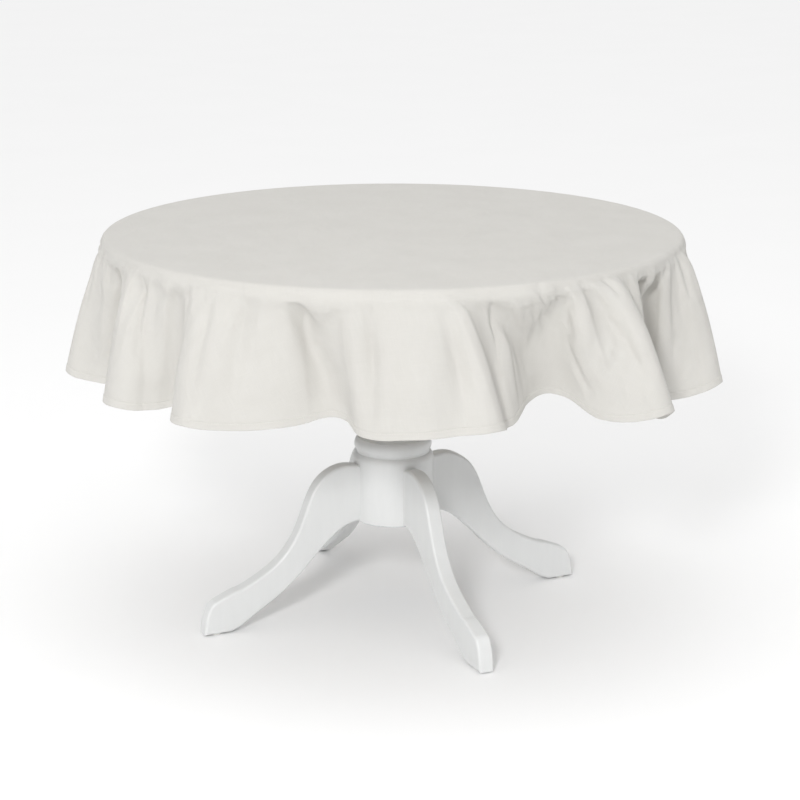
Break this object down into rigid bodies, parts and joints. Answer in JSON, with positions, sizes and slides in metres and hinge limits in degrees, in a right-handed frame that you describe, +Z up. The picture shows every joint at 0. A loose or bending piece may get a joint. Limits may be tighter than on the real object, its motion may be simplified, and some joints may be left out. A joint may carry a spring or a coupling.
{
  "type": "tablecloth on a table",
  "caption": "Round off-white tablecloth draped in loose folds over a round table with a turned pedestal and curved legs.",
  "frame": {"origin": "on the floor under the centre of the table, at the foot of the column's axis", "axes": "+Z up; -Y is the side seen in front; +X to the right of it"},
  "size_m": [1.2221, 1.1986, 0.7501],
  "materials": {
    "off_white_cotton": "plain weave, matt with a soft sheen",
    "white_painted_wood": "satin white paint",
    "bare_wood": "planed and left bare",
    "zinc_plated_steel": "bright zinc plate",
    "white_nylon": "moulded"
  },
  "bodies": {
    "table": {"tabletop": "white_painted_wood", "bearer_long": "bare_wood", "bearer_cross": "bare_wood", "bearer_screws": "zinc_plated_steel", "column_cap_plate": "bare_wood", "cap_plate_screws": "zinc_plated_steel", "centre_coach_screw": "zinc_plated_steel", "centre_washer": "zinc_plated_steel", "pedestal_column": "white_painted_wood", "leg_right": "white_painted_wood", "leg_back": "white_painted_wood", "leg_left": "white_painted_wood", "leg_front": "white_painted_wood", "hanger_bolts": "zinc_plated_steel", "crescent_washers": "zinc_plated_steel", "hex_nuts": "zinc_plated_steel", "leg_dowels": "bare_wood", "hub_base_plate": "zinc_plated_steel", "base_plate_screws": "zinc_plated_steel", "foot_glides": "white_nylon"},
    "cloth": {"tablecloth": "off_white_cotton", "tablecloth_hem": "off_white_cotton"}
  },
  "joints": [
    {"name": "cloth_lift", "type": "slide", "parent": "table", "child": "cloth", "axis": [0, 0, 1], "range_m": [0, 0.3]}
  ]
}
